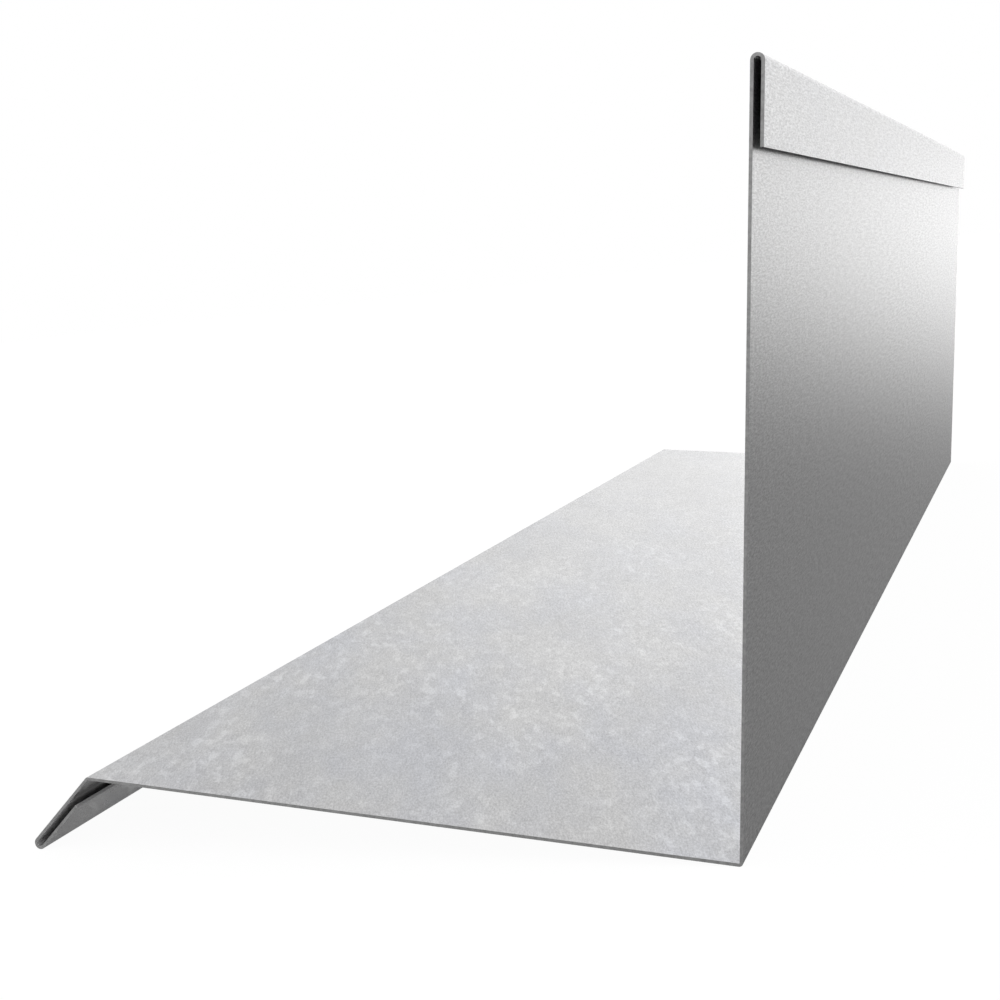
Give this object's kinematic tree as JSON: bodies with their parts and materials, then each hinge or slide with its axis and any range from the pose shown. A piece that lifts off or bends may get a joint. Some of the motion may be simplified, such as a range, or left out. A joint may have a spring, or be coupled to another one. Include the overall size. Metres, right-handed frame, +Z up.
{
  "type": "wall abutment flashing",
  "caption": "Folded galvanised steel wall abutment flashing: a tall upright with an open hem, a flat apron and a sloping drip with a hem beneath, cut square at its ends.",
  "frame": {"origin": "middle of the footprint, on the floor", "axes": "+Y along the length, +X towards the wall, +Z up; stored as it lies on a floor, on its corner fold and the round edge of its drip, so the apron tilts by about 6.4 degrees"},
  "size_m": [0.1608, 0.465, 0.134],
  "materials": {
    "galvanised_sheet": "hot-dip galvanised, satin with a soft mottled spangle"
  },
  "bodies": {
    "root": {"flashing": "galvanised_sheet"}
  },
  "joints": []
}
